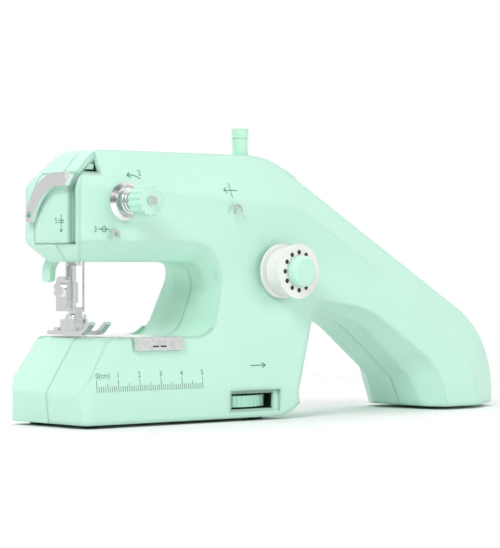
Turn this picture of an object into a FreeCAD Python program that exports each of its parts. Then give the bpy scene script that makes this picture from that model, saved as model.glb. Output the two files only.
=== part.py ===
import FreeCAD, Part
import math
import os
from FreeCAD import Vector

# Portable sewing machine with a C-shaped body and a handle that reaches down to a rear foot.
# Millimetres. X runs along the arm from needle to handle, Y from front to back, Z up.

# Housing
wall = 2.0
stand_gap = 1.0
length = 229.0
bed_crease_z = 12.0
bed_top_z = 32.0
bed_top_x = 13.5
bed_half_depth = 23.0
bed_top_half_depth = 20.6
arm_half_depth = 16.0
arm_under_z = 59.5
arm_crease_z = 81.0
arm_top_z = 100.4
arm_top_half = 9.0
head_crease_rise = 6.0
head_x = 4.1
arm_end_x = 101.0
handle_end_z = 28.7
handle_tip_run = 23.44
handle_foot = 47.0
handle_facet = 12.0
split_y = -1.0
cover_gap = 0.15

# Drive line
drive_y = split_y
arm_axis_z = 76.0
shaft_x = 79.0
shaft_r = 2.5
running = 0.05
bush_r = 4.5
crank_throw = 8.0
crank_disc_r = 10.4
crank_disc_x = 26.0
crank_disc_t = 3.0
crank_pin_r = 1.4
pin_gap = 0.3
yoke_half_height = 2.8
wheel_r = 20.6
wheel_z = 4.9
wheel_t = 4.3
wheel_grooves = 60
pulley_r = 6.0
pulley_z = 9.9
pulley_t = 3.4
gear_module = 0.75
gear_teeth = 36
pinion_teeth = 9
gear_z = 14.5
gear_t = 3.5
gear_slack = 0.12
bevel_teeth = 16
bevel_r = 8.0
bevel_face = 3.4
motor_r = 10.0
motor_z = 20.0
motor_h = 28.0

# Sewing head
needle_x = 17.6
head_floor_z = 64.5
needle_tip_z = 38.3
needle_len = 38.0
needle_blade_r = 0.4
needle_shank_r = 1.0
needle_bar_r = 2.0
needle_bar_z = 61.5
needle_bar_top = 90.0
presser_x = 17.5
presser_y = 6.5
presser_r = 2.0
presser_low_z = 43.0
presser_top_z = 86.0
collar_z = 70.0
collar_t = 2.0
lift_reach = 1.2
shank_top_z = 54.2
presser_guide_z = 80.0
foot_sole_z = 32.8
foot_width = 10.0
foot_gap = 4.6
foot_front_y = -11.2
foot_rear_y = 14.3
ankle_y = 3.5
ankle_z = 38.4
lifter_x = 13.8
lifter_t = 2.4
lifter_y = 12.5
lifter_z = 66.0
take_up_y = 8.5
take_up_z = 82.0
take_up_root_y = -10.6
take_up_root_z = 89.3
take_up_blade_x = 1.2
take_up_arm_x = 11.2
slot_front_y = -13.2
slot_rear_y = -9.4

# Tension unit, winder and spool
tension_x = 25.0
tension_z = 81.4
stud_r = 1.6
stud_low_y = -13.8
disc_r = 7.0
knob_r = 5.6
knob_len = 6.6
winder_x = 99.5
winder_z = 56.0
bobbin_r = 10.4
bobbin_width = 10.5
bobbin_bore_r = 3.0
bobbin_holes = 12
guide_r = 2.35
guide_wire = 0.9
spool_x = 95.3
spool_y = 0.0
spool_r = 2.95
spool_top_z = 111.0
spool_head = 3.7
spool_lip = 0.3
spool_show = 6.4
sleeve_r = 4.0
sleeve_len = 22.9

# Hook, feed and plates
hook_x = 36.1
hook_r = 17.9
hook_z = 14.0
hook_top_z = 25.5
plate_t = 1.2
plate_top_z = 32.2
needle_plate_x = 14.2
slide_x = 24.7
slide_width = 22.9
slide_low_z = 27.2

# Power
button_x = 117.0
cell_r = 9.2
cell_len = 65.0
cell_x = 158.0
cell_depth = 23.47

handle_angle = math.degrees(math.atan2(arm_top_z - handle_end_z, length - arm_end_x))
handle_tip_r = handle_tip_run / math.tan(math.radians(90.0 - handle_angle) / 2)
arch_end_x = length - handle_foot
cell_z = arm_top_z - (cell_x - arm_end_x) * math.tan(math.radians(handle_angle)) - cell_depth
X = Vector(1, 0, 0)
Y = Vector(0, 1, 0)
Z = Vector(0, 0, 1)
parts = {}


def box(x0, x1, y0, y1, z0, z1):
    return Part.makeBox(x1 - x0, y1 - y0, z1 - z0, Vector(x0, y0, z0))


def rod(radius, height, x, y, z, axis=Z):
    return Part.makeCylinder(radius, height, Vector(x, y, z), axis)


def ring(outer, inner, height, x, y, z, axis=Z):
    return rod(outer, height, x, y, z, axis).cut(rod(inner, height, x, y, z, axis))


def rounded_wire(corners, place):
    # Closed outline of (a, b, radius) corners with an arc at each corner
    count = len(corners)
    starts = []
    for i in range(count):
        a = Vector(corners[i - 1][0], corners[i - 1][1], 0)
        b = Vector(corners[i][0], corners[i][1], 0)
        c = Vector(corners[(i + 1) % count][0], corners[(i + 1) % count][1], 0)
        back = (a - b).normalize()
        ahead = (c - b).normalize()
        half = back.getAngle(ahead) / 2
        reach = corners[i][2] / math.tan(half)
        middle = (back + ahead).normalize()
        centre = b + middle * (corners[i][2] / math.sin(half))
        starts.append((b + back * reach, centre - middle * corners[i][2], b + ahead * reach))
    edges = []
    for i in range(count):
        first, mid, last = [place(p.x, p.y) for p in starts[i]]
        following = place(starts[(i + 1) % count][0].x, starts[(i + 1) % count][0].y)
        edges.append(Part.Arc(first, mid, last).toShape())
        edges.append(Part.LineSegment(last, following).toShape())
    return Part.Wire(edges)


def side_place(y):
    return lambda x, z: Vector(x, y, z)


def side_solid(corners, y0, y1, inset=0.0):
    face = Part.Face(rounded_wire(corners, side_place(y0)))
    if inset:
        face = face.makeOffset2D(-inset)
    return face.extrude(Vector(0, y1 - y0, 0))


def mirrored(shape):
    return shape.mirror(Vector(0, 0, 0), Y)


# Body outline seen from the front, from the bed's lower left corner round the arch and handle
def body_corners():
    return [
        (1.5, stand_gap, 0.5), (105.5, stand_gap, 16.0), (120.5, 41.5, 8.0), (146.0, 36.0, 30.0),
        (arch_end_x - 6.0, 13.5, 16.0), (arch_end_x, stand_gap, 2.5), (length, stand_gap, 3.5),
        (length, handle_end_z, handle_tip_r),
        (arm_end_x, arm_top_z, 40.0), (16.0, arm_top_z, 9.0), (head_x, 88.0, 8.0), (head_x, 66.0, 5.0),
        (9.5, arm_under_z, 3.0), (74.0, arm_under_z, 9.0), (62.0, bed_top_z, 10.0),
        (bed_top_x, bed_top_z, 2.5), (0.0, bed_crease_z, 3.0),
    ]


# Front and back faces flare from the arm to the bed
def flare_solid(inset):
    half = [
        (22.4 - inset, -5.0, 0.2), (bed_half_depth - inset, bed_crease_z, 8.0),
        (bed_top_half_depth - inset, bed_top_z, 40.0), (arm_half_depth - inset, 55.0, 30.0),
        (arm_half_depth - inset, 110.0, 0.2),
    ]
    corners = half + [(-y, z, r) for y, z, r in reversed(half)]
    wire = rounded_wire(corners, lambda y, z: Vector(-5.0, y, z))
    return Part.Face(wire).extrude(Vector(length + 10.0, 0, 0))


# Plan outline that rounds the bed's and the handle's upright corners
def plan_solid(inset):
    half = bed_half_depth + 0.5 - inset
    corners = [
        (inset, -half, 7.0), (length - inset, -half, 14.0), (length - inset, half, 14.0), (inset, half, 7.0),
    ]
    wire = rounded_wire(corners, lambda x, y: Vector(x, y, -5.0))
    return Part.Face(wire).extrude(Vector(0, 0, 130.0))


# Long facet that leans in towards the top of the arm and handle
def top_facet(inset):
    y0 = arm_top_half - inset * 1.12
    spread = 20.0
    arm_drop = (arm_top_z - arm_crease_z) / (arm_half_depth - arm_top_half) * spread
    handle_drop = handle_facet / (arm_half_depth - arm_top_half) * spread
    wires = []
    for step in (0.0, 1.0):
        down = arm_drop * step
        slide = handle_drop * step
        angle = math.radians(handle_angle)
        top = arm_top_z - down
        lift = (slide / math.cos(angle) - down) / math.tan(angle)
        bend = arm_end_x - lift
        end = length - slide
        end_z = arm_top_z - slide / math.cos(angle) - (end - arm_end_x) * math.tan(angle)
        reach = arm_end_x + 30.0
        rise = head_crease_rise * spread * step / (arm_half_depth - arm_top_half) * reach / (arm_end_x - head_x)
        corners = [
            (-30.0, top + rise, 1.0), (bend, top, 40.0), (end, end_z, handle_tip_r - slide), (end, -60.0, 1.0),
            (400.0, -60.0, 1.0), (400.0, 300.0, 1.0), (-30.0, 300.0, 1.0),
        ]
        wires.append(rounded_wire(corners, side_place(-y0 - spread * step)))
    return Part.makeLoft(wires, True, True)


# Facet that opens the sewing space and the hand arch towards the front
def under_facet(inner, outer, y0, y1, inset):
    wires = [
        rounded_wire(inner, side_place(-y0 + inset)),
        rounded_wire(outer, side_place(-y1 + inset)),
    ]
    return Part.makeLoft(wires, True, True)


def throat_facet(inset):
    inner = [(-20.0, 59.5, 1.0), (-20.0, 32.5, 1.0), (62.0, 32.5, 10.0), (74.0, 59.5, 9.0)]
    outer = [(-20.0, 71.0, 1.0), (-20.0, 31.0, 1.0), (64.0, 31.0, 12.0), (78.0, 71.0, 14.0)]
    return under_facet(inner, outer, 9.0, 20.0, inset)


def arch_facet(inset):
    inner = [
        (105.5, -3.0, 12.0), (arch_end_x, -3.0, 4.0), (arch_end_x - 6.0, 13.5, 16.0), (146.0, 36.0, 30.0),
        (120.5, 41.5, 8.0),
    ]
    outer = [
        (99.5, -3.0, 12.0), (arch_end_x + 10.0, -3.0, 4.0), (arch_end_x + 1.0, 20.0, 16.0), (148.0, 46.0, 30.0),
        (115.5, 50.0, 9.0),
    ]
    return under_facet(inner, outer, 12.0, 26.0, inset)


def body_solid(inset):
    solid = side_solid(body_corners(), -40.0, 40.0, inset)
    solid = solid.common(flare_solid(inset))
    solid = solid.common(plan_solid(inset))
    for facet in (top_facet(inset), throat_facet(inset), arch_facet(inset)):
        solid = solid.cut(facet)
        solid = solid.cut(mirrored(facet))
    return solid


def handle_frame(shape, x, z):
    shape.rotate(Vector(0, 0, 0), Y, handle_angle)
    shape.translate(Vector(x, 0, z))
    return shape


def button_seat_z():
    return arm_top_z - (button_x - arm_end_x) * math.tan(math.radians(handle_angle))


# Ribs and bosses inside the housing that hold bushes, bars, motor, cell and board
def inner_ribs(cavity):
    ribs = []
    for x in (32.0, 62.0):
        ribs.append(box(x, x + 3.0, -20, 20, arm_under_z, 101))
    ribs.append(box(68.0, 92.0, -20, 20, 62.0, 66.0))
    ribs.append(box(84.0, 112.0, -20, 20, 30.0, 33.0))
    ribs.append(box(6.0, 26.0, -20, 14, arm_under_z, head_floor_z))
    ribs.append(box(14.2, 20.8, 2.2, 20, presser_guide_z, presser_guide_z + 3.0))
    ribs.append(box(14.6, 20.6, 4.0, 24, 26.0, 28.3))
    ribs.append(box(90.0, 101.0, -6, 20, 78.0, 90.0))
    ribs.append(rod(7.0, 8.0, hook_x, drive_y, stand_gap))
    ribs.append(rod(7.0, 3.6, shaft_x, drive_y, stand_gap))
    for along in (-24.0, 20.0):
        ribs.append(handle_frame(box(along, along + 3.0, -30, 30, -50, 50), cell_x, cell_z))
    ribs.append(box(106.0, 109.0, -20, 20, 60.0, 95.0))
    ribs.append(box(124.0, 127.0, -20, 20, 50.0, 95.0))
    joined = ribs[0]
    for rib in ribs[1:]:
        joined = joined.fuse(rib)
    return joined.common(cavity)


# Everything that is cut out of the housing: bores, windows, slots and seats
def openings():
    cuts = []
    cuts.append(rod(bush_r, 60, 20, drive_y, arm_axis_z, X))
    cuts.append(rod(bush_r, 8, shaft_x, drive_y, 60.0))
    cuts.append(rod(bush_r, 6, shaft_x, drive_y, 1.8))
    cuts.append(rod(bush_r, 8, hook_x, drive_y, 1.8))
    cuts.append(rod(motor_r + running, 12, motor_x, drive_y, 27.0))
    cuts.append(rod(3.6, 5.0, needle_x, drive_y, arm_under_z))
    cuts.append(rod(presser_r + running, 40, presser_x, presser_y, 56.0))
    cuts.append(rod(sleeve_r, sleeve_len + 1.1, spool_x, spool_y, sleeve_low_z()))
    cuts.append(rod(2.0, 10, tension_x, -22.0, tension_z, Y))
    cuts.append(rod(2.5, 8, winder_x, -18.5, winder_z, Y))
    window = box(71.5, 92.5, -26, -17, 4.2, 10.0)
    cuts.append(window)
    cuts.append(box(70.0, 95.5, -26, bed_half_depth * -1 + 1.2, 3.2, 11.2))
    cuts.append(box(-5, 16.0, slot_front_y, slot_rear_y, 66.0, 103))
    cuts.append(box(lifter_x - 0.4, lifter_x + lifter_t + 0.4, 8.5, 24, 50, 73))
    low_z = plate_top_z - plate_t
    cuts.append(box(needle_plate_x - 0.1, slide_x - 0.1, -12.1, 14.1, low_z, 40))
    cuts.append(box(14.4, 20.9, -3.0, 14.0, 28.4, 40))
    cuts.append(box(slide_x - 0.1, slide_x + slide_width + 0.1, -30, 14.1, low_z, plate_top_z + 0.1))
    cuts.append(rod(10.9, 6, hook_x, drive_y, 28.0))
    cuts.append(handle_frame(button_shape(0.25), button_x, button_seat_z()))
    cuts.append(handle_frame(rod(cell_r + running, cell_len, -cell_len / 2, 0, 0, X), cell_x, cell_z))
    cuts.append(handle_frame(box(-12.1, 15.1, -9.1, 9.1, -12.0, -10.2), button_x, button_seat_z()))
    joined = cuts[0]
    for cut in cuts[1:]:
        joined = joined.fuse(cut)
    return joined


def face_cover_zone(gap):
    return box(-5, 8.0 - gap, slot_rear_y + gap, 11.0 - gap, 66.0 + gap, 98.0 - gap)


def housing():
    outer = body_solid(0.0)
    cavity = body_solid(wall)
    shell = outer.cut(cavity)
    shell = shell.fuse(inner_ribs(cavity))
    shell = shell.cut(openings())
    end_wall = outer.cut(cavity).common(face_cover_zone(cover_gap))
    cover = max(end_wall.Solids, key=lambda s: s.Volume)
    parts["face_cover"] = cover.cut(rod(1.5, 20, -5, take_up_y, take_up_z, X))
    shell = shell.cut(face_cover_zone(0.0))
    front = shell.common(box(-50, 300, -60, split_y, -50, 200))
    rear = shell.common(box(-50, 300, split_y, 60, -50, 200))
    for name in ("arm_thread_guide", "head_thread_guide", "wire_guide", "bobbin_spindle"):
        front = front.cut(parts[name])
    rear = rear.cut(parts["lifter_pin"])
    parts["front_shell"] = max(front.Solids, key=lambda s: s.Volume)
    parts["rear_shell"] = max(rear.Solids, key=lambda s: s.Volume)


# Rubber pads under the bed and the handle
def foot_pads():
    spots = {
        "front_left": (10.0, -15.0), "rear_left": (10.0, 15.0),
        "front_right": (88.0, -15.0), "rear_right": (88.0, 15.0), "handle": (205.0, 0.0),
    }
    for name, (x, y) in spots.items():
        pad = Part.makeCone(3.6, 4.2, stand_gap, Vector(x, y, 0), Z)
        parts["foot_pad_" + name] = pad


# Push button in the bend between arm and handle
def button_shape(gap):
    body = box(-5.0 - gap, 5.0 + gap, -4.0 - gap, 4.0 + gap, -5.0, 3.6)
    return body.makeFillet(2.5, [e for e in body.Edges if abs(e.tangentAt(0).z) > 0.9])


def power_button():
    button = button_shape(0.0)
    top_edges = [e for e in button.Edges if e.BoundBox.ZMin > 3.5]
    button = button.makeFillet(1.2, top_edges)
    parts["power_button"] = handle_frame(button, button_x, button_seat_z())


# Spur wheel with straight-sided teeth
def spur_gear(teeth, x, y, z, thickness, bore, turn):
    pitch_r = gear_module * teeth / 2
    outer_r = pitch_r + gear_module * 0.9
    root_r = pitch_r - gear_module * 1.2
    gear = rod(root_r, thickness, 0, 0, 0)
    step = 2 * math.pi / teeth
    low = root_r * math.sin(step * 0.26)
    high = outer_r * math.sin(step * 0.1)
    outline = [
        Vector(root_r * 0.9, -low, 0), Vector(outer_r, -high, 0),
        Vector(outer_r, high, 0), Vector(root_r * 0.9, low, 0),
    ]
    tooth = Part.Face(Part.makePolygon(outline + outline[:1])).extrude(Vector(0, 0, thickness))
    copies = []
    for i in range(teeth):
        copy = tooth.copy()
        copy.rotate(Vector(0, 0, 0), Z, math.degrees(step) * i + turn)
        copies.append(copy)
    gear = gear.multiFuse(copies)
    gear = gear.cut(rod(bore, thickness, 0, 0, 0))
    gear.translate(Vector(x, y, z))
    return gear


# Straight bevel wheel whose pitch cone comes to a point at the origin, below it along Z
def bevel_gear(turn):
    scale_in = (bevel_r - bevel_face) / bevel_r
    add = 0.7
    dedend = 0.95
    base_r = bevel_r - dedend
    body = Part.makeCone(base_r, base_r * scale_in, bevel_face, Vector(0, 0, -bevel_r), Z)
    body = body.fuse(rod(base_r, 1.5, 0, 0, -bevel_r - 1.5))
    step = 2 * math.pi / bevel_teeth
    low = bevel_r * math.sin(step * 0.2)
    high = bevel_r * math.sin(step * 0.09)
    large = [
        Vector(base_r - 0.6, -low, -bevel_r), Vector(bevel_r + add * 0.7, -high, -bevel_r + add * 0.7),
        Vector(bevel_r + add * 0.7, high, -bevel_r + add * 0.7), Vector(base_r - 0.6, low, -bevel_r),
    ]
    small = [p * scale_in for p in large]
    wires = [Part.makePolygon(points + points[:1]) for points in (large, small)]
    tooth = Part.makeLoft(wires, True, True)
    copies = []
    for i in range(bevel_teeth):
        copy = tooth.copy()
        copy.rotate(Vector(0, 0, 0), Z, math.degrees(step) * i + turn)
        copies.append(copy)
    gear = body.multiFuse(copies)
    return gear.cut(rod(shaft_r, 30, 0, 0, -20))


# Thumb wheel, upright shaft and everything fixed to it
def drive_line():
    wheel = rod(wheel_r, wheel_t, 0, 0, 0)
    grooves = []
    for i in range(wheel_grooves):
        groove = Part.makeCylinder(0.5, wheel_t, Vector(wheel_r + 0.15, 0, 0), Z)
        groove.rotate(Vector(0, 0, 0), Z, 360.0 * i / wheel_grooves)
        grooves.append(groove)
    wheel = wheel.cut(Part.makeCompound(grooves))
    wheel = wheel.cut(ring(16.0, 6.0, 1.2, 0, 0, wheel_t - 1.2))
    wheel = wheel.cut(rod(shaft_r, wheel_t, 0, 0, 0))
    wheel.translate(Vector(shaft_x, drive_y, wheel_z))
    parts["hand_wheel"] = wheel
    top = arm_axis_z - bevel_r - 1.5 + 3.0
    parts["drive_shaft"] = rod(shaft_r, top - 2.0, shaft_x, drive_y, 2.0)
    parts["shaft_bush_low"] = ring(bush_r, shaft_r + running, 2.8, shaft_x, drive_y, 1.8)
    parts["shaft_bush_top"] = ring(bush_r, shaft_r + running, 4.0, shaft_x, drive_y, 62.0)
    pulley = ring(pulley_r, shaft_r, gear_z - pulley_z, shaft_x, drive_y, pulley_z)
    gear = spur_gear(gear_teeth, shaft_x, drive_y, gear_z, gear_t, shaft_r, 0)
    parts["drive_gear"] = gear.fuse(pulley)
    bevel = bevel_gear(0)
    bevel.translate(Vector(shaft_x, drive_y, arm_axis_z))
    parts["shaft_bevel"] = bevel


def motor_unit():
    pitch = gear_module * (gear_teeth + pinion_teeth) / 2
    assert abs(motor_x - shaft_x - pitch - gear_slack) < 1e-6
    can = rod(motor_r, motor_h, motor_x, drive_y, motor_z)
    can = can.cut(box(motor_x - 12, motor_x + 12, drive_y + 8.2, drive_y + 12, motor_z - 1, 29.8))
    can = can.fuse(rod(3.0, 1.4, motor_x, drive_y, motor_z - 1.4))
    can = can.fuse(rod(3.0, 1.4, motor_x, drive_y, motor_z + motor_h))
    parts["motor"] = can.cut(rod(1.0 + running, 12, motor_x, drive_y, motor_z - 2))
    pinion = spur_gear(pinion_teeth, motor_x, drive_y, gear_z, gear_t, 1.0, 180.0 / pinion_teeth + 180.0)
    parts["motor_pinion"] = pinion.fuse(rod(1.0, 14, motor_x, drive_y, gear_z))


def arm_line():
    bevel = bevel_gear(180.0 / bevel_teeth)
    bevel.rotate(Vector(0, 0, 0), Y, 90)
    bevel.translate(Vector(shaft_x, drive_y, arm_axis_z))
    parts["arm_bevel"] = bevel
    end = shaft_x - bevel_r + 1.0
    parts["arm_shaft"] = rod(shaft_r, end - crank_disc_x - crank_disc_t, crank_disc_x + crank_disc_t,
                             drive_y, arm_axis_z, X)
    for name, x in (("arm_bush_head", 32.0), ("arm_bush_column", 62.0)):
        parts[name] = ring(bush_r, shaft_r + running, 3.0, x, drive_y, arm_axis_z, X)
    disc = rod(crank_disc_r, crank_disc_t, crank_disc_x, drive_y, arm_axis_z, X)
    notch = rod(6.0, crank_disc_t, crank_disc_x, drive_y + 10.5, arm_axis_z + 7.0, X)
    disc = disc.cut(notch).cut(mirror_about_drive(notch))
    pin = rod(crank_pin_r, 2.5, crank_disc_x - 2.5, drive_y, arm_axis_z + crank_throw, X)
    parts["crank_disc"] = disc.fuse(pin)


def mirror_about_drive(shape):
    return shape.mirror(Vector(0, drive_y, 0), Y)


# Needle bar with the slotted yoke that the crank pin works in
def needle_unit():
    top = arm_axis_z + crank_throw
    bar = rod(needle_bar_r, needle_bar_top - needle_bar_z, needle_x, drive_y, needle_bar_z)
    yoke_x = crank_disc_x - 2.5 - pin_gap
    slot_r = crank_pin_r + running
    low = top - yoke_half_height
    high = top + yoke_half_height
    reach = crank_throw + slot_r + 1.2
    block = box(needle_x - 3.0, yoke_x, drive_y - 2.8, drive_y + 2.8, low, high)
    plate = box(yoke_x - 2.0, yoke_x, drive_y - reach, drive_y + reach, low, high)
    plate = plate.makeChamfer(1.6, [e for e in plate.Edges if abs(e.tangentAt(0).x) > 0.9])
    slot = box(yoke_x - 2.7, yoke_x + 1, drive_y - crank_throw, drive_y + crank_throw, top - slot_r, top + slot_r)
    for side in (-1, 1):
        slot = slot.fuse(rod(slot_r, 3.7, yoke_x - 2.7, drive_y + side * crank_throw, top, X))
    bar = bar.fuse(block).fuse(plate).cut(slot)
    shank_top = needle_tip_z + needle_len
    bar = bar.cut(rod(needle_shank_r, shank_top - needle_bar_z, needle_x, drive_y, needle_bar_z))
    parts["needle_bar"] = bar
    shank = rod(needle_shank_r, 13.0, needle_x, drive_y, shank_top - 13.0)
    blade = rod(needle_blade_r, 21.0, needle_x, drive_y, needle_tip_z + 3.0)
    cone = Part.makeCone(needle_shank_r, needle_blade_r, 1.0, Vector(needle_x, drive_y, shank_top - 13.0), Z * -1)
    point = Part.makeCone(0.05, needle_blade_r, 3.0, Vector(needle_x, drive_y, needle_tip_z), Z)
    parts["needle"] = shank.fuse(blade).fuse(cone).fuse(point)
    parts["needle_bar_bush"] = ring(3.6, needle_bar_r + running, 5.0, needle_x, drive_y, arm_under_z)


# Presser bar, its shank and the hinged foot
def presser_unit():
    bar = rod(presser_r, presser_top_z - presser_low_z, presser_x, presser_y, presser_low_z)
    bar = bar.fuse(rod(2.75, 7.5, presser_x, presser_y, 44.5))
    collar = rod(3.4, collar_t, presser_x, presser_y, collar_z)
    arm = box(lifter_x, lifter_x + lifter_t, presser_y, lifter_y + lift_reach, collar_z, collar_z + collar_t)
    bar = bar.fuse(collar).fuse(arm)
    bar = bar.cut(rod(1.1, 7.2, 10.0, presser_y, 49.3, X))
    plate_x = presser_x - 2.75 - 1.7
    bar = bar.cut(box(plate_x - 1, plate_x + 1.9, 0, 12, 42, 56))
    parts["presser_bar"] = bar
    plate = box(plate_x, plate_x + 1.7, presser_y - 3.0, presser_y + 3.0, 42.0, shank_top_z)
    plate = plate.makeFillet(2.0, [e for e in plate.Edges if abs(e.tangentAt(0).x) > 0.9 and e.BoundBox.ZMin > 50])
    jog = box(plate_x, 19.5, ankle_y - 2.0, presser_y + 3.0, 41.4, 42.9)
    tongue = box(15.7, 19.5, ankle_y - 2.0, ankle_y + 2.0, ankle_z - 1.9, 42.0)
    tongue = tongue.fuse(rod(2.0, 3.8, 15.7, ankle_y, ankle_z, X))
    shank = plate.fuse(jog).fuse(tongue)
    shank = shank.cut(rod(1.1, 6.0, 10.0, presser_y, 49.3, X))
    parts["presser_shank"] = shank.cut(rod(0.9, 8.0, 14.0, ankle_y, ankle_z, X))
    screw = rod(1.1, 4.0, plate_x, presser_y, 49.3, X)
    head = rod(2.6, 1.6, plate_x - 1.6, presser_y, 49.3, X)
    slot = box(plate_x - 3, plate_x - 0.9, presser_y - 3, presser_y + 3, 48.9, 49.7)
    parts["shank_screw"] = screw.fuse(head).cut(slot)
    parts["ankle_pin"] = rod(0.9, 7.4, 13.9, ankle_y, ankle_z, X)
    parts["presser_foot"] = presser_foot()


def presser_foot():
    half = foot_width / 2
    left = needle_x - half
    outline = [
        (foot_rear_y, foot_sole_z, 0.6), (foot_front_y + 5.0, foot_sole_z, 3.0), (foot_front_y, foot_sole_z + 4.2, 0.3),
        (foot_front_y + 0.9, foot_sole_z + 5.0, 0.3), (foot_front_y + 5.6, foot_sole_z + 1.5, 2.0),
        (foot_rear_y, foot_sole_z + 1.5, 0.6),
    ]
    wire = rounded_wire(outline, lambda y, z: Vector(left, y, z))
    sole = Part.Face(wire).extrude(Vector(foot_width, 0, 0))
    gap = box(needle_x - foot_gap / 2, needle_x + foot_gap / 2, foot_front_y - 2, ankle_y - 2.6, 30, 42)
    sole = sole.cut(gap)
    for x in (14.2, 19.8):
        cheek = box(x, x + 1.2, ankle_y - 2.6, ankle_y + 5.0, foot_sole_z + 1.0, ankle_z)
        cheek = cheek.fuse(rod(2.2, 1.2, x, ankle_y, ankle_z, X))
        sole = sole.fuse(cheek)
    heel = box(left + 2.5, left + foot_width - 2.5, foot_rear_y - 3.5, foot_rear_y - 0.8, foot_sole_z, foot_sole_z + 2.6)
    sole = sole.fuse(heel)
    return sole.cut(rod(0.9 + running, 9.0, 13.0, ankle_y, ankle_z, X))


# Lever behind the head that raises the presser bar
def lifter_unit():
    outline = [
        (lifter_y - 3.4, lifter_z + 3.4, 3.3), (lifter_y + 3.4, lifter_z + 3.4, 3.3),
        (lifter_y + 3.4, 62.0, 4.0), (19.0, 57.0, 3.0), (19.0, 52.0, 2.2), (14.0, 52.0, 2.2),
        (14.0, 57.0, 3.0), (lifter_y - 3.4, 62.0, 3.0),
    ]
    wire = rounded_wire(outline, lambda y, z: Vector(lifter_x, y, z))
    lever = Part.Face(wire).extrude(Vector(lifter_t, 0, 0))
    parts["presser_lifter"] = lever.cut(rod(1.2 + running, 10, lifter_x - 4, lifter_y, lifter_z, X))
    parts["lifter_pin"] = rod(1.2, 6.0, lifter_x - 1.8, lifter_y, lifter_z, X)


# Thread take-up lever: outer blade, a bridge through the slot and an inner arm on a pin
def take_up_unit():
    blade_x = take_up_blade_x
    blade_t = 1.5
    inner_x = take_up_arm_x
    width = 5.0
    tip_y, tip_z = 10.0, 76.0
    bend_y, bend_z = -4.0, 89.3
    outer = Part.Arc(Vector(blade_x, bend_y, bend_z + width / 2),
                     Vector(blade_x, bend_y + 11.0, bend_z - 3.2),
                     Vector(blade_x, tip_y + 2.5, tip_z)).toShape()
    inner = Part.Arc(Vector(blade_x, tip_y - 2.0, tip_z),
                     Vector(blade_x, bend_y + 7.2, bend_z - 6.8),
                     Vector(blade_x, bend_y, bend_z - width / 2)).toShape()
    tip = Part.Arc(Vector(blade_x, tip_y + 2.5, tip_z), Vector(blade_x, tip_y + 0.25, tip_z - 2.25),
                   Vector(blade_x, tip_y - 2.0, tip_z)).toShape()
    root_low = Vector(blade_x, take_up_root_y - 0.8, bend_z - width / 2)
    root_high = Vector(blade_x, take_up_root_y - 0.8, bend_z + width / 2)
    low = Part.LineSegment(Vector(blade_x, bend_y, bend_z - width / 2), root_low).toShape()
    end = Part.LineSegment(root_low, root_high).toShape()
    high = Part.LineSegment(root_high, Vector(blade_x, bend_y, bend_z + width / 2)).toShape()
    blade = Part.Face(Part.Wire([outer, tip, inner, low, end, high])).extrude(Vector(blade_t, 0, 0))
    blade = blade.cut(rod(1.25, 4, 0, tip_y + 0.2, tip_z + 0.8, X))
    bridge = box(blade_x, inner_x + 1.6, take_up_root_y - 0.8, take_up_root_y + 0.8, bend_z - 2.5, bend_z + 1.2)
    angle = math.degrees(math.atan2(take_up_root_z - take_up_z, take_up_y - take_up_root_y))
    reach = math.hypot(take_up_root_z - take_up_z, take_up_y - take_up_root_y)
    arm = box(inner_x, inner_x + 1.6, -reach - 0.6, 0, -2.2, 1.2)
    arm.rotate(Vector(0, 0, 0), X, -angle)
    arm.translate(Vector(0, take_up_y, take_up_z))
    arm = arm.fuse(rod(3.2, 1.6, inner_x, take_up_y, take_up_z, X))
    lever = blade.fuse(bridge).fuse(arm)
    parts["take_up_lever"] = lever.cut(rod(1.5 + running, 12, 8.0, take_up_y, take_up_z, X))
    pin = rod(1.5, inner_x + 2.0 - head_x - 0.2, head_x + 0.2, take_up_y, take_up_z, X)
    parts["take_up_pin"] = pin.fuse(rod(2.4, 0.8, inner_x + 1.8, take_up_y, take_up_z, X))


# Path of a wound wire: biarcs of a quarter turn each on a cone about an axis along Y or Z
def wound_points(start_r, end_r, rise, turns, steps):
    points = []
    for i in range(steps + 1):
        share = i / steps
        angle = 2 * math.pi * turns * share
        radius = start_r + (end_r - start_r) * share
        points.append(Vector(radius * math.cos(angle), radius * math.sin(angle), rise * share))
    return points


def wound_tube(name, wire_r, start_r, end_r, rise, turns):
    steps = int(turns * 8)
    points = wound_points(start_r, end_r, rise, turns, steps)
    lead_in = points[0] - (points[1] - points[0]).normalize() * (2 * wire_r)
    lead_out = points[-1] + (points[-1] - points[-2]).normalize() * (2 * wire_r)
    edges = [Part.LineSegment(lead_in, points[0]).toShape()]
    for i in range(0, steps, 2):
        edges.append(Part.Arc(points[i], points[i + 1], points[i + 2]).toShape())
    edges.append(Part.LineSegment(points[-1], lead_out).toShape())
    path = Part.Wire(edges)
    start_dir = (points[0] - lead_in).normalize()
    profile = Part.Wire(Part.makeCircle(wire_r, lead_in, start_dir))
    tube = path.makePipeShell([profile], True, False)
    least = 1e9
    fine = wound_points(start_r, end_r, rise, turns, steps * 3)
    apart = int(steps * 3 / turns * 0.7)
    for i in range(len(fine)):
        for j in range(i + apart, len(fine)):
            least = min(least, (fine[i] - fine[j]).Length)
    print(name, "least gap to itself", round(least - 2 * wire_r, 2), "mm")
    return tube


def along_front(shape, x, y, z):
    shape.rotate(Vector(0, 0, 0), X, 90)
    shape.translate(Vector(x, y, z))
    return shape


def presser_spring():
    low = collar_z + collar_t + 0.45
    high = presser_guide_z - 0.45
    tube = wound_tube("presser_spring", 0.35, 2.75, 2.75, high - low, 5)
    tube.translate(Vector(presser_x, presser_y, low))
    parts["presser_spring"] = tube


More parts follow.
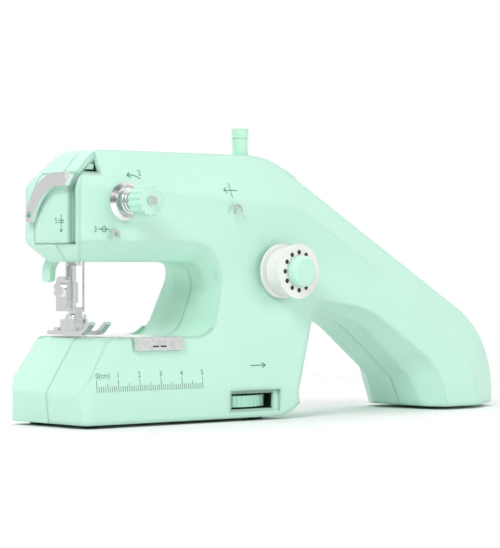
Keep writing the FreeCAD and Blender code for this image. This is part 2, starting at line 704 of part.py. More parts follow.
# Tension unit on its stud
def tension_unit():
    face_y = -arm_half_depth
    stud = rod(stud_r, 32.5 + stud_low_y, tension_x, stud_low_y, tension_z, Y * -1)
    stud = stud.fuse(rod(2.0, stud_low_y - face_y, tension_x, stud_low_y, tension_z, Y * -1))
    parts["tension_stud"] = stud
    for name, y in (("tension_disc_rear", face_y - 0.05), ("tension_disc_front", face_y - 1.2)):
        disc = Part.makeCone(disc_r, disc_r - 1.0, 0.9, Vector(tension_x, y, tension_z), Y * -1)
        parts[name] = disc.cut(rod(stud_r + running, 3, tension_x, y + 1, tension_z, Y * -1))
    spring = wound_tube("tension_spring", 0.4, 4.6, 3.2, 4.4, 3)
    parts["tension_spring"] = along_front(spring, tension_x, face_y - 2.75, tension_z)
    knob_y = face_y - 8.2
    knob = rod(knob_r, knob_len, tension_x, knob_y, tension_z, Y * -1)
    flutes = []
    for i in range(14):
        angle = 2 * math.pi * i / 14
        flutes.append(rod(0.9, knob_len, tension_x + (knob_r + 0.35) * math.cos(angle), knob_y,
                          tension_z + (knob_r + 0.35) * math.sin(angle), Y * -1))
    knob = knob.cut(Part.makeCompound(flutes))
    parts["tension_knob"] = knob.cut(rod(stud_r + running, 40, tension_x, 0, tension_z, Y * -1))


# Open eyelet on a short post: a ring with a gap that the thread slips through
def eyelet(x, y, z):
    def spot(radius, degrees):
        angle = math.radians(degrees)
        return Vector(x + radius * math.cos(angle), y - 1.4, z + radius * math.sin(angle))
    inner_r = guide_r - guide_wire
    outer = Part.Arc(spot(guide_r, -20), spot(guide_r, 100), spot(guide_r, 220)).toShape()
    inner = Part.Arc(spot(inner_r, 220), spot(inner_r, 100), spot(inner_r, -20)).toShape()
    ends = [
        Part.LineSegment(spot(guide_r, 220), spot(inner_r, 220)).toShape(),
        Part.LineSegment(spot(inner_r, -20), spot(guide_r, -20)).toShape(),
    ]
    loop = Part.Face(Part.Wire([outer, ends[0], inner, ends[1]])).extrude(Vector(0, -guide_wire, 0))
    post = box(x - 0.45, x + 0.45, y - 2.0, y + 0.9, z + inner_r + 0.1, z + guide_r - 0.15)
    return loop.fuse(post)


def thread_guides():
    parts["arm_thread_guide"] = eyelet(78.0, -arm_half_depth, 79.0)
    parts["head_thread_guide"] = eyelet(19.4, -arm_half_depth + 0.9, 68.8)
    bow = ring(2.6, 1.7, 0.9, 11.0, -4.0, 58.1)
    bow = bow.cut(box(7.0, 11.0, -4.5, -3.5, 57, 60))
    parts["wire_guide"] = bow.fuse(box(12.7, 13.5, -4.45, -3.55, 58.1, 62.4))


# Bobbin winder on the front of the column
def winder_unit():
    face_y = -arm_half_depth
    spindle = rod(2.5, 6.0, winder_x, face_y + 5.0, winder_z, Y * -1)
    spindle = spindle.fuse(rod(5.0, 2.4, winder_x, face_y, winder_z, Y * -1))
    spindle = spindle.fuse(rod(bobbin_bore_r - running, 15.0, winder_x, face_y - 1.0, winder_z, Y * -1))
    parts["bobbin_spindle"] = spindle
    rear_y = face_y - 2.5
    parts["thread_bobbin"] = bobbin(winder_x, rear_y, winder_z, Y * -1)
    gap = bobbin_width - 2.0
    loops = 7
    pitch = 1.12
    tube = wound_tube("thread_winding", 0.33, 8.6, 8.6, pitch * loops, loops)
    winding = along_front(tube, winder_x, rear_y - 1.0 - (gap - pitch * loops) / 2, winder_z)
    core = ring(8.6, 4.2, gap - 0.02, winder_x, rear_y - 1.01, winder_z, Y * -1)
    parts["thread_winding"] = core.fuse(winding)
    cap_y = rear_y - bobbin_width - 0.3
    cap = rod(6.0, 3.6, winder_x, cap_y, winder_z, Y * -1)
    cap = cap.makeFillet(1.8, [e for e in cap.Edges if e.BoundBox.YMax < cap_y - 3.5])
    parts["bobbin_cap"] = cap.cut(rod(bobbin_bore_r, 2.7, winder_x, cap_y, winder_z, Y * -1))


def bobbin(x, y, z, axis):
    at = Vector(x, y, z)
    hub = rod(4.2, bobbin_width, x, y, z, axis)
    near = rod(bobbin_r, 1.0, x, y, z, axis)
    far_at = at + axis * (bobbin_width - 1.0)
    far = rod(bobbin_r, 1.0, far_at.x, far_at.y, far_at.z, axis)
    reel = hub.fuse(near).fuse(far)
    across = X if abs(axis.y) > 0.5 else Y
    upright = axis.cross(across)
    holes = [rod(bobbin_bore_r, bobbin_width, x, y, z, axis)]
    for i in range(bobbin_holes):
        angle = 2 * math.pi * i / bobbin_holes
        spot = at + across * (7.2 * math.cos(angle)) + upright * (7.2 * math.sin(angle))
        holes.append(rod(0.75, bobbin_width, spot.x, spot.y, spot.z, axis))
    return reel.cut(Part.makeCompound(holes))


# Telescopic spool pin in its sleeve on top of the arm
def sleeve_low_z():
    return spool_top_z - spool_head - spool_show - sleeve_len


def spool_unit():
    parts["spool_sleeve"] = ring(sleeve_r, spool_r + running, sleeve_len, spool_x, spool_y, sleeve_low_z())
    pin_low_z = sleeve_low_z() + 2.0
    pin = rod(spool_r, spool_top_z - pin_low_z, spool_x, spool_y, pin_low_z)
    pin = pin.fuse(rod(spool_r + spool_lip, spool_head, spool_x, spool_y, spool_top_z - spool_head))
    pin = pin.cut(box(spool_x + 1.2, spool_x + 5, -0.5, 0.5, spool_top_z - spool_head + spool_lip, spool_top_z + 1))
    parts["spool_pin"] = pin


# Loop of the toothed belt between drive shaft and hook shaft
def belt():
    def loop(radius):
        half = shaft_x - hook_x
        left = rod(radius, 3.0, hook_x, drive_y, pulley_z + 0.2)
        right = rod(radius, 3.0, shaft_x, drive_y, pulley_z + 0.2)
        middle = box(hook_x, hook_x + half, drive_y - radius, drive_y + radius, pulley_z + 0.2, pulley_z + 3.2)
        return left.fuse(right).fuse(middle)
    return loop(pulley_r + 1.3).cut(loop(pulley_r + running))


# Rotary hook, the case it turns round and the lower bobbin
def hook_unit():
    bowl = rod(hook_r, hook_top_z - hook_z, hook_x, drive_y, hook_z)
    bowl = bowl.cut(rod(hook_r - 1.2, 20, hook_x, drive_y, hook_z + 1.0))
    notch = box(hook_x - 3, hook_x + 14, drive_y + 8, drive_y + 22, hook_z + 5.0, 40)
    bowl = bowl.cut(notch)
    parts["rotary_hook"] = bowl.fuse(rod(shaft_r, hook_z - 2.0, hook_x, drive_y, 2.0))
    parts["hook_pulley"] = ring(pulley_r, shaft_r, pulley_t, hook_x, drive_y, pulley_z)
    parts["hook_bush"] = ring(bush_r, shaft_r + running, 7.0, hook_x, drive_y, 1.8)
    case = rod(hook_r - 1.6, 10.6, hook_x, drive_y, hook_z + 1.1)
    case = case.cut(rod(10.7, 20, hook_x, drive_y, hook_z + 2.1))
    case = case.cut(ring(15.3, 11.7, 20, hook_x, drive_y, hook_z + 3.0))
    case = case.fuse(rod(bobbin_bore_r - 0.1, 6.0, hook_x, drive_y, hook_z + 2.0))
    parts["bobbin_case"] = case
    parts["lower_bobbin"] = bobbin(hook_x, drive_y, hook_z + 2.2, Z)


# Feed dog and the metal plates of the bed
def bed_plates():
    low_z = plate_top_z - plate_t
    feed = box(14.8, 20.4, 1.5, 12.0, 28.35, 30.0)
    for x in (14.8, 18.7):
        feed = feed.fuse(box(x, x + 1.7, 0.0, 12.0, 28.35, 31.4))
        for i in range(8):
            tooth = Part.makeCone(0.7, 0.1, 0.6, Vector(x + 0.85, 1.0 + i * 1.4, 31.4), Z)
            feed = feed.fuse(tooth)
    parts["feed_dog"] = feed
    plate = box(needle_plate_x, slide_x - 0.2, -12.0, 14.0, low_z, plate_top_z)
    plate = plate.cut(rod(1.1, 4, needle_x, drive_y, low_z - 1))
    for x in (14.6, 18.5):
        plate = plate.cut(box(x, x + 2.1, -1.6, 13.4, low_z - 1, plate_top_z + 1))
    parts["needle_plate"] = plate
    slide = box(slide_x, slide_x + slide_width, -22.4, 14.0, low_z, plate_top_z)
    slide = slide.fuse(box(slide_x, slide_x + slide_width, -22.4, -21.5, slide_low_z, plate_top_z))
    slide = slide.makeFillet(0.8, [e for e in slide.Edges if e.BoundBox.YMax < -22.3 and e.BoundBox.ZMin > 32.1])
    parts["slide_plate"] = slide


def power_unit():
    cell = rod(cell_r, cell_len, -cell_len / 2, 0, 0, X)
    cell = cell.fuse(rod(2.8, 1.5, -cell_len / 2 - 1.5, 0, 0, X))
    parts["battery_cell"] = handle_frame(cell, cell_x, cell_z)
    board = box(-12.0, 15.0, -9.0, 9.0, -11.9, -10.3)
    board = board.fuse(box(-3.0, 3.0, -3.0, 3.0, -10.3, -6.6))
    parts["control_board"] = handle_frame(board, button_x, button_seat_z())


motor_x = shaft_x + gear_module * (gear_teeth + pinion_teeth) / 2 + gear_slack
foot_pads()
power_button()
drive_line()
motor_unit()
arm_line()
needle_unit()
presser_unit()
lifter_unit()
take_up_unit()
presser_spring()
tension_unit()
thread_guides()
winder_unit()
spool_unit()
parts["timing_belt"] = belt()
hook_unit()
bed_plates()
power_unit()
housing()

whole = FreeCAD.BoundBox()
for shape in parts.values():
    whole.add(shape.optimalBoundingBox(False, False))
origin = Vector(-whole.Center.x, -whole.Center.y, -whole.ZMin)
os.makedirs("parts", exist_ok=True)
for name, shape in parts.items():
    placed = shape.copy()
    placed.translate(origin)
    placed.exportStep("parts/" + name + ".step")
print("origin shift", origin)
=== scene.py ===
import math
import bmesh
import bpy
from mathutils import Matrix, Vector


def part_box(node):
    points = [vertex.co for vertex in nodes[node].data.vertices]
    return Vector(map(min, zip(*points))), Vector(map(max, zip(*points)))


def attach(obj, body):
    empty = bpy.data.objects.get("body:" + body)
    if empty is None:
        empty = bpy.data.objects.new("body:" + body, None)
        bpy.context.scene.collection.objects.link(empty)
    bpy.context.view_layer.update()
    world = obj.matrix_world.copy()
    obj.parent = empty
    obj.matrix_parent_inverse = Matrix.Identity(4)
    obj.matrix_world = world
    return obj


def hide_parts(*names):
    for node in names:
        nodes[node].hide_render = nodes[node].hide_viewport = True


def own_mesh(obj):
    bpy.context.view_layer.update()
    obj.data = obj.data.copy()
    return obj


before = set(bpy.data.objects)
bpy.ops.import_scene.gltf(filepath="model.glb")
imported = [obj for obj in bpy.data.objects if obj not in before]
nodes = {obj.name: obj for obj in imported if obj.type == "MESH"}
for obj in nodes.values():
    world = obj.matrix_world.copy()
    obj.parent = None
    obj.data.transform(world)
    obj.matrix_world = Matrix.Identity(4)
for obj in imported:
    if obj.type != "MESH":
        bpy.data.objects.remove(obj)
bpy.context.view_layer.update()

scene = bpy.context.scene
scene.view_settings.view_transform = "Standard"


# Housing: two shells and an end cover moulded in satin mint plastic, clamped together with screws from
# behind. The skin has a very fine spark-eroded grain and soft edges. The rear shell's edges are tighter, because
# its lip behind the slide plate is thin.
def satin_plastic(name, colour, roughness, edge):
    plastic_ior = 1.47
    cloud_scale, grain_scale = 35.0, 2600.0
    dark_share, dark_end, light_end = 0.965, 0.3, 0.75
    smoother, rougher = 0.05, 0.06
    grain_strength, grain_depth = 0.04, 0.0001
    material = bpy.data.materials.new(name)
    material.use_nodes = True
    tree = material.node_tree
    shader = tree.nodes["Principled BSDF"]
    shader.inputs["IOR"].default_value = plastic_ior
    place = tree.nodes.new("ShaderNodeTexCoord")
    cloud = tree.nodes.new("ShaderNodeTexNoise")
    cloud.inputs["Scale"].default_value = cloud_scale
    tree.links.new(place.outputs["Object"], cloud.inputs["Vector"])
    tint = tree.nodes.new("ShaderNodeValToRGB")
    tint.color_ramp.elements[0].position = dark_end
    tint.color_ramp.elements[1].position = light_end
    tint.color_ramp.elements[0].color = [c * dark_share for c in colour] + [1.0]
    tint.color_ramp.elements[1].color = list(colour) + [1.0]
    tree.links.new(cloud.outputs["Fac"], tint.inputs["Fac"])
    tree.links.new(tint.outputs["Color"], shader.inputs["Base Color"])
    wear = tree.nodes.new("ShaderNodeMapRange")
    wear.inputs["To Min"].default_value = roughness - smoother
    wear.inputs["To Max"].default_value = roughness + rougher
    tree.links.new(cloud.outputs["Fac"], wear.inputs["Value"])
    tree.links.new(wear.outputs["Result"], shader.inputs["Roughness"])
    grain = tree.nodes.new("ShaderNodeTexNoise")
    grain.inputs["Scale"].default_value = grain_scale
    tree.links.new(place.outputs["Object"], grain.inputs["Vector"])
    soft = tree.nodes.new("ShaderNodeBevel")
    soft.samples = 6
    soft.inputs["Radius"].default_value = edge
    bump = tree.nodes.new("ShaderNodeBump")
    bump.inputs["Strength"].default_value = grain_strength
    bump.inputs["Distance"].default_value = grain_depth
    tree.links.new(grain.outputs["Fac"], bump.inputs["Height"])
    tree.links.new(soft.outputs["Normal"], bump.inputs["Normal"])
    tree.links.new(bump.outputs["Normal"], shader.inputs["Normal"])
    return material


def paint(material, *names):
    for name in names:
        mesh = nodes[name].data
        mesh.materials.clear()
        mesh.materials.append(material)


mint_colour = (0.55, 0.86, 0.71)
mint = satin_plastic("mint_satin", mint_colour, roughness=0.42, edge=0.003)
paint(mint, "front_shell", "face_cover")
paint(satin_plastic("mint_rear", mint_colour, roughness=0.42, edge=0.001), "rear_shell")


# Small mint mouldings: lifter, power button, tension knob, winder cap and the two parts of the spool pin.
# They are shot in the same plastic with a slightly glossier skin and tighter edges.
mint_small = satin_plastic("mint_small", mint_colour, roughness=0.34, edge=0.0005)
paint(mint_small, "presser_lifter", "power_button", "tension_knob", "bobbin_cap", "spool_sleeve", "spool_pin")


# Thumb wheel: a slightly darker mint plastic, knurled by fine upright grooves and pressed on the drive
# shaft, with its rim in the window of the bed front.
paint(satin_plastic("mint_wheel", (0.46, 0.80, 0.63), roughness=0.38, edge=0.0002), "hand_wheel")


# Bright metal: needle, presser parts, plates, take-up lever, tension discs and thread guides are plated
# steel with faint polishing lines. They are screwed, pinned or pressed into the housing.
def plated_steel(name, colour, roughness, stretch):
    line_scale, dark_share = 400.0, 0.93
    smoother, rougher = 0.7, 1.4
    material = bpy.data.materials.new(name)
    material.use_nodes = True
    tree = material.node_tree
    shader = tree.nodes["Principled BSDF"]
    shader.inputs["Metallic"].default_value = 1.0
    place = tree.nodes.new("ShaderNodeTexCoord")
    turn = tree.nodes.new("ShaderNodeMapping")
    turn.inputs["Scale"].default_value = stretch
    lines = tree.nodes.new("ShaderNodeTexNoise")
    lines.inputs["Scale"].default_value = line_scale
    tree.links.new(place.outputs["Object"], turn.inputs["Vector"])
    tree.links.new(turn.outputs["Vector"], lines.inputs["Vector"])
    tint = tree.nodes.new("ShaderNodeValToRGB")
    tint.color_ramp.elements[0].color = [c * dark_share for c in colour] + [1.0]
    tint.color_ramp.elements[1].color = list(colour) + [1.0]
    tree.links.new(lines.outputs["Fac"], tint.inputs["Fac"])
    tree.links.new(tint.outputs["Color"], shader.inputs["Base Color"])
    worn = tree.nodes.new("ShaderNodeMapRange")
    worn.inputs["To Min"].default_value = roughness * smoother
    worn.inputs["To Max"].default_value = roughness * rougher
    tree.links.new(lines.outputs["Fac"], worn.inputs["Value"])
    tree.links.new(worn.outputs["Result"], shader.inputs["Roughness"])
    return material


chrome = plated_steel("bright_plate", (0.9, 0.91, 0.92), roughness=0.2, stretch=(1.0, 1.0, 6.0))
paint(chrome, "take_up_lever", "tension_stud", "tension_disc_rear", "tension_disc_front", "arm_thread_guide",
      "head_thread_guide", "wire_guide", "needle", "presser_bar", "presser_shank", "shank_screw", "ankle_pin",
      "presser_foot")
brushed = plated_steel("brushed_plate", (0.74, 0.75, 0.76), roughness=0.25, stretch=(1.0, 12.0, 1.0))
paint(brushed, "needle_plate", "feed_dog")
paint(plated_steel("satin_plate", (0.84, 0.86, 0.85), roughness=0.24, stretch=(1.0, 12.0, 1.0)), "slide_plate")


# Inner drive: ground steel shafts, turned brass bushes and moulded gears, with the cell and its board. They
# sit in ribs and seats of the shells, mostly out of sight.
ground = plated_steel("ground_steel", (0.6, 0.61, 0.62), roughness=0.3, stretch=(8.0, 8.0, 1.0))
paint(ground, "drive_shaft", "arm_shaft", "crank_disc", "needle_bar", "rotary_hook", "motor", "take_up_pin",
      "lifter_pin")
paint(plated_steel("turned_brass", (0.78, 0.58, 0.25), roughness=0.25, stretch=(1.0, 1.0, 8.0)), "shaft_bush_low",
      "shaft_bush_top", "arm_bush_head", "arm_bush_column", "hook_bush", "needle_bar_bush")
paint(satin_plastic("moulded_gear", (0.78, 0.78, 0.72), roughness=0.4, edge=0.0002), "drive_gear", "motor_pinion",
      "shaft_bevel", "arm_bevel", "hook_pulley", "bobbin_spindle")
paint(satin_plastic("cell_sleeve", (0.05, 0.14, 0.4), roughness=0.3, edge=0.0004), "battery_cell")
paint(satin_plastic("board_green", (0.02, 0.16, 0.06), roughness=0.45, edge=0.0002), "control_board")
paint(satin_plastic("case_black", (0.03, 0.03, 0.03), roughness=0.45, edge=0.0004), "bobbin_case")


# Rubber: soft pads glued under the bed and handle, and the toothed belt round its two pulleys, in dark matt
# rubber. The same dark material is also used as painted shade: it darkens the bobbin holes, the slide plate grip
# grooves and the screw recesses.
rubber_and_shade = satin_plastic("dark_rubber_and_painted_shade", (0.035, 0.035, 0.035), roughness=0.75, edge=0.0004)
paint(rubber_and_shade, "timing_belt", "foot_pad_front_left", "foot_pad_rear_left", "foot_pad_front_right",
      "foot_pad_rear_right", "foot_pad_handle")


# Bobbins: moulded reels. A white one turns on the winder spindle, and a pale grey one lies in the bobbin case
# under the slide plate.
paint(satin_plastic("bobbin_white", (0.86, 0.86, 0.84), roughness=0.28, edge=0.0003), "thread_bobbin")
paint(satin_plastic("bobbin_clear", (0.7, 0.73, 0.74), roughness=0.2, edge=0.0003), "lower_bobbin")


# Wound thread: white cotton laid in close turns on the winder bobbin, over the full width of its drum. It is
# held by its own tension and turns with the bobbin.
def mesh_of(source):
    mesh = bpy.data.meshes.new_from_object(source.evaluated_get(bpy.context.evaluated_depsgraph_get()))
    bpy.data.objects.remove(source)
    return mesh


def add_piece(name, mesh, material=None):
    if material:
        mesh.materials.clear()
        mesh.materials.append(material)
    piece = bpy.data.objects.new(name, mesh)
    scene.collection.objects.link(piece)
    return piece


def helix_mesh(name, radii, wire, turns, start, along, steps):
    curve = bpy.data.curves.new(name, "CURVE")
    curve.dimensions = "3D"
    curve.bevel_depth = wire
    curve.bevel_resolution = 3
    curve.use_fill_caps = True
    spline = curve.splines.new("POLY")
    count = int(turns * steps)
    spline.points.add(count)
    side = Vector((1, 0, 0))
    across = along.cross(side).normalized()
    for i in range(count + 1):
        share = i / count
        angle = 2 * math.pi * turns * share
        radius = radii[0] + (radii[1] - radii[0]) * share
        spot = start + along * share + (side * math.cos(angle) + across * math.sin(angle)) * radius
        spline.points[i].co = (*spot, 1.0)
    source = bpy.data.objects.new(name + "_path", curve)
    scene.collection.objects.link(source)
    mesh = mesh_of(source)
    mesh.name = name
    mesh.shade_smooth()
    return mesh


def cotton(name, colour):
    fuzz, dullness, dark_share = 0.4, 0.75, 0.82
    fibre_scale, fibre_detail = 3000.0, 4.0
    fibre_strength, fibre_depth = 0.3, 0.0001
    material = bpy.data.materials.new(name)
    material.use_nodes = True
    tree = material.node_tree
    shader = tree.nodes["Principled BSDF"]
    shader.inputs["Sheen Weight"].default_value = fuzz
    shader.inputs["Roughness"].default_value = dullness
    place = tree.nodes.new("ShaderNodeTexCoord")
    fibre = tree.nodes.new("ShaderNodeTexNoise")
    fibre.inputs["Scale"].default_value = fibre_scale
    fibre.inputs["Detail"].default_value = fibre_detail
    tree.links.new(place.outputs["Object"], fibre.inputs["Vector"])
    tint = tree.nodes.new("ShaderNodeValToRGB")
    tint.color_ramp.elements[0].color = [c * dark_share for c in colour] + [1.0]
    tint.color_ramp.elements[1].color = list(colour) + [1.0]
    tree.links.new(fibre.outputs["Fac"], tint.inputs["Fac"])
    tree.links.new(tint.outputs["Color"], shader.inputs["Base Color"])
    bump = tree.nodes.new("ShaderNodeBump")
    bump.inputs["Strength"].default_value = fibre_strength
    bump.inputs["Distance"].default_value = fibre_depth
    tree.links.new(fibre.outputs["Fac"], bump.inputs["Height"])
    tree.links.new(bump.outputs["Normal"], shader.inputs["Normal"])
    return material


thread_r = 0.00022
thread_turns = 24
turn_r = 0.0086
drum_r = 0.00855
reel_margin = 0.0002
reel_low, reel_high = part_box("thread_winding")
reel_middle = (Vector(reel_low) + Vector(reel_high)) / 2
reel_start = Vector((reel_middle.x, reel_high[1] - reel_margin, reel_middle.z))
reel_run = Vector((0.0, reel_low[1] - reel_high[1] + 2 * reel_margin, 0.0))
thread_mesh = helix_mesh("thread_winding_turns", (turn_r, turn_r), thread_r, thread_turns, reel_start,
                         reel_run, steps=28)
along_reel = Vector((0, 0, 1)).rotation_difference(Vector((0, 1, 0))).to_matrix()
drum = bmesh.new()
bmesh.ops.create_cone(drum, cap_ends=True, segments=72, radius1=drum_r, radius2=drum_r, depth=reel_run.length)
bmesh.ops.rotate(drum, verts=drum.verts, matrix=along_reel)
bmesh.ops.translate(drum, verts=drum.verts, vec=reel_middle)
drum.from_mesh(thread_mesh)
drum.to_mesh(thread_mesh)
drum.free()
thread = add_piece("thread_winding_turns", thread_mesh, cotton("white_cotton", (0.88, 0.88, 0.86)))
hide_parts("thread_winding")
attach(thread, "winder_bobbin")


# Bobbin holes: a ring of twelve round holes near the rim of the winder bobbin. Their dark insides are painted
# shade: dark discs laid on its front flange over the holes. They repeat, so they are instances on a circle.
def piece_tree(name, *inputs):
    tree = bpy.data.node_groups.new(name, "GeometryNodeTree")
    tree.interface.new_socket("Geometry", in_out="INPUT", socket_type="NodeSocketGeometry")
    sockets = [tree.interface.new_socket(label, in_out="INPUT", socket_type=kind) for label, kind in inputs]
    tree.interface.new_socket("Geometry", in_out="OUTPUT", socket_type="NodeSocketGeometry")
    return tree, sockets, tree.nodes.new("NodeGroupInput"), tree.nodes.new("NodeGroupOutput")


def grown_mesh(name, start_mesh, tree, sockets, values):
    source = bpy.data.objects.new(name + "_source", start_mesh)
    scene.collection.objects.link(source)
    maker = source.modifiers.new("grow", "NODES")
    maker.node_group = tree
    for socket, value in zip(sockets, values):
        maker[socket.identifier] = value
    return mesh_of(source)


laid_lift = 0.00004
hole_count, hole_r, hole_ring_r = 12, 0.0009, 0.0072
flange_low, flange_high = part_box("thread_bobbin")
flange_middle = (Vector(flange_low) + Vector(flange_high)) / 2
hole_tree, hole_sockets, hole_in, hole_out = piece_tree(
    "bobbin_hole_shade", ("Count", "NodeSocketInt"), ("Radius", "NodeSocketFloat"), ("Ring radius", "NodeSocketFloat"))
hole_ring = hole_tree.nodes.new("GeometryNodeMeshCircle")
hole_shade_disc = hole_tree.nodes.new("GeometryNodeMeshCircle")
hole_shade_disc.fill_type = "NGON"
hole_shade_disc.inputs["Vertices"].default_value = 24
place_holes = hole_tree.nodes.new("GeometryNodeInstanceOnPoints")
real_holes = hole_tree.nodes.new("GeometryNodeRealizeInstances")
dress_holes = hole_tree.nodes.new("GeometryNodeSetMaterial")
# Painted shade: the discs take the dark material so the holes read as shaded inside.
dress_holes.inputs["Material"].default_value = rubber_and_shade
link = hole_tree.links.new
link(hole_in.outputs["Count"], hole_ring.inputs["Vertices"])
link(hole_in.outputs["Ring radius"], hole_ring.inputs["Radius"])
link(hole_in.outputs["Radius"], hole_shade_disc.inputs["Radius"])
link(hole_ring.outputs["Mesh"], place_holes.inputs["Points"])
link(hole_shade_disc.outputs["Mesh"], place_holes.inputs["Instance"])
link(place_holes.outputs["Instances"], real_holes.inputs["Geometry"])
link(real_holes.outputs["Geometry"], dress_holes.inputs["Geometry"])
link(dress_holes.outputs["Geometry"], hole_out.inputs["Geometry"])
hole_shade_mesh = grown_mesh("bobbin_hole", bpy.data.meshes.new("bobbin_hole_source"), hole_tree, hole_sockets,
                       (hole_count, hole_r, hole_ring_r))
for vertex in hole_shade_mesh.vertices:
    flat_x, flat_z = vertex.co.x, vertex.co.y
    vertex.co = (flange_middle.x + flat_x, flange_low[1] - laid_lift, flange_middle.z + flat_z)
bobbin_hole_shade = add_piece("bobbin_hole_shade", hole_shade_mesh)
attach(bobbin_hole_shade, "winder_bobbin")


# Slide plate grip: two short bars pressed into the front lip, for the thumb that pulls the plate. Their grooves
# are painted shade: thin dark marks laid on the steel.
grip_half_w, grip_half_h = 0.0014, 0.0003
grip_height_share = 0.3
lip_low, lip_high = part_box("slide_plate")
grip_z = lip_low[2] + (lip_high[2] - lip_low[2]) * grip_height_share
grip_corners = [(-grip_half_w, -grip_half_h), (grip_half_w, -grip_half_h),
                (grip_half_w, grip_half_h), (-grip_half_w, grip_half_h)]
grip = bmesh.new()
for share in (0.42, 0.58):
    grip_x = lip_low[0] + (lip_high[0] - lip_low[0]) * share
    grip.faces.new([grip.verts.new((grip_x + x, lip_low[1] - laid_lift, grip_z + z)) for x, z in grip_corners])
grip_shade_mesh = bpy.data.meshes.new("slide_grip_groove_shade")
grip.to_mesh(grip_shade_mesh)
grip.free()
# Painted shade: the grip marks take the dark material to stand for the shaded grooves.
slide_grip_groove_shade = add_piece("slide_grip_groove_shade", grip_shade_mesh, rubber_and_shade)
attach(slide_grip_groove_shade, "slide")


# Tension spring: a short cone of bright wire on the tension stud, held between the discs and the knob.
spring_wire_r = 0.0004
spring_turns = 3.25
spring_wide_r, spring_narrow_r = 0.0046, 0.0032
spring_rear_margin, spring_front_margin = 0.0008, 0.0004
spring_low, spring_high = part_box("tension_spring")
stud_low, stud_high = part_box("tension_stud")
spring_start = Vector(((stud_low[0] + stud_high[0]) / 2, spring_high[1] - spring_rear_margin,
                       (stud_low[2] + stud_high[2]) / 2))
spring_run = Vector((0, spring_low[1] - spring_high[1] + spring_rear_margin + spring_front_margin, 0))
spring = add_piece("tension_spring_wire", helix_mesh("tension_spring_wire", (spring_wide_r, spring_narrow_r),
                   spring_wire_r, spring_turns, spring_start, spring_run, steps=36), chrome)
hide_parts("tension_spring")
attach(spring, "housing")


# Presser spring: a straight coil of ground steel wire round the presser bar that pushes the foot down, inside
# the head. On the machine it shortens as the presser bar is lifted; here it is one fixed coil on the housing.
coil_wire_r = 0.00035
coil_r = 0.00275
coil_turns = 5
coil_margin = 0.0005
coil_low, coil_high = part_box("presser_spring")
coil_middle = (Vector(coil_low) + Vector(coil_high)) / 2
coil_length = coil_high[2] - coil_low[2]
coil_start = Vector((coil_middle.x, coil_middle.y, coil_low[2] + coil_margin))
coil_run = Vector((0, 0, coil_length - 2 * coil_margin))
coil = add_piece("presser_spring_wire", helix_mesh("presser_spring_wire", (coil_r, coil_r), coil_wire_r,
                 coil_turns, coil_start, coil_run, steps=36), ground)
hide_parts("presser_spring")
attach(coil, "housing")
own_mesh(coil)


# Ruler: a centimetre scale printed in dark green along the bed front, laid on the moulded face. Its marks
# repeat, so they are instances along a line, longer at each half and whole centimetre.
row_shift = Vector((-0.114564, 0.004958, 0.0))
front_skin = nodes["front_shell"]
print_lift = 0.00006
print_start_y = -0.03
far_off = 0.2


def lay_on_front(mesh, piece_name):
    for vertex in mesh.vertices:
        start = Vector((vertex.co.x, -far_off, vertex.co.z))
        hit, spot = front_skin.ray_cast(start, Vector((0, 1, 0)))[:2]
        if hit:
            vertex.co = spot + Vector((0, -print_lift, 0))
    piece = add_piece(piece_name, mesh, ink)
    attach(piece, "housing")


ink = satin_plastic("printed_green", (0.10, 0.26, 0.185), roughness=0.55, edge=0.0001)
ruler_x, ruler_z = 0.0066, 0.0127
tick_count = 51
tick_gap, tick_width, tick_thick, tick_short = 0.001, 0.00016, 0.00001, 0.0021
half_growth, whole_growth = 0.45, 0.7
ruler_tree, ruler_sockets, ruler_in, ruler_out = piece_tree(
    "ruler_marks", ("Count", "NodeSocketInt"), ("Gap", "NodeSocketFloat"), ("Width", "NodeSocketFloat"),
    ("Height", "NodeSocketFloat"))
link = ruler_tree.links.new


def ruler_math(operation, first, second):
    node = ruler_tree.nodes.new("ShaderNodeMath")
    node.operation = operation
    link(first, node.inputs[0])
    node.inputs[1].default_value = second
    return node


step = ruler_tree.nodes.new("ShaderNodeCombineXYZ")
marks = ruler_tree.nodes.new("GeometryNodeMeshLine")
marks.inputs["Start Location"].default_value = row_shift + Vector((ruler_x, print_start_y, ruler_z))
tick_size = ruler_tree.nodes.new("ShaderNodeCombineXYZ")
tick_size.inputs["Y"].default_value = tick_thick
stroke = ruler_tree.nodes.new("GeometryNodeMeshCube")
stroke.inputs["Vertices Z"].default_value = 6
half_height = ruler_math("MULTIPLY", ruler_in.outputs["Height"], 0.5)
rise = ruler_tree.nodes.new("ShaderNodeCombineXYZ")
raised = ruler_tree.nodes.new("GeometryNodeTransform")
number = ruler_tree.nodes.new("GeometryNodeInputIndex")
is_half = ruler_math("LESS_THAN", ruler_math("MODULO", number.outputs["Index"], 5.0).outputs[0], 0.5)
is_whole = ruler_math("LESS_THAN", ruler_math("MODULO", number.outputs["Index"], 10.0).outputs[0], 0.5)
half_stretch = ruler_math("MULTIPLY_ADD", is_half.outputs[0], half_growth)
half_stretch.inputs[2].default_value = 1.0
whole_stretch = ruler_math("MULTIPLY_ADD", is_whole.outputs[0], whole_growth)
scale = ruler_tree.nodes.new("ShaderNodeCombineXYZ")
scale.inputs["X"].default_value = 1.0
scale.inputs["Y"].default_value = 1.0
copies = ruler_tree.nodes.new("GeometryNodeInstanceOnPoints")
real = ruler_tree.nodes.new("GeometryNodeRealizeInstances")
dress = ruler_tree.nodes.new("GeometryNodeSetMaterial")
dress.inputs["Material"].default_value = ink
link(ruler_in.outputs["Count"], marks.inputs["Count"])
link(ruler_in.outputs["Gap"], step.inputs["X"])
link(step.outputs["Vector"], marks.inputs["Offset"])
link(ruler_in.outputs["Width"], tick_size.inputs["X"])
link(ruler_in.outputs["Height"], tick_size.inputs["Z"])
link(tick_size.outputs["Vector"], stroke.inputs["Size"])
link(half_height.outputs[0], rise.inputs["Z"])
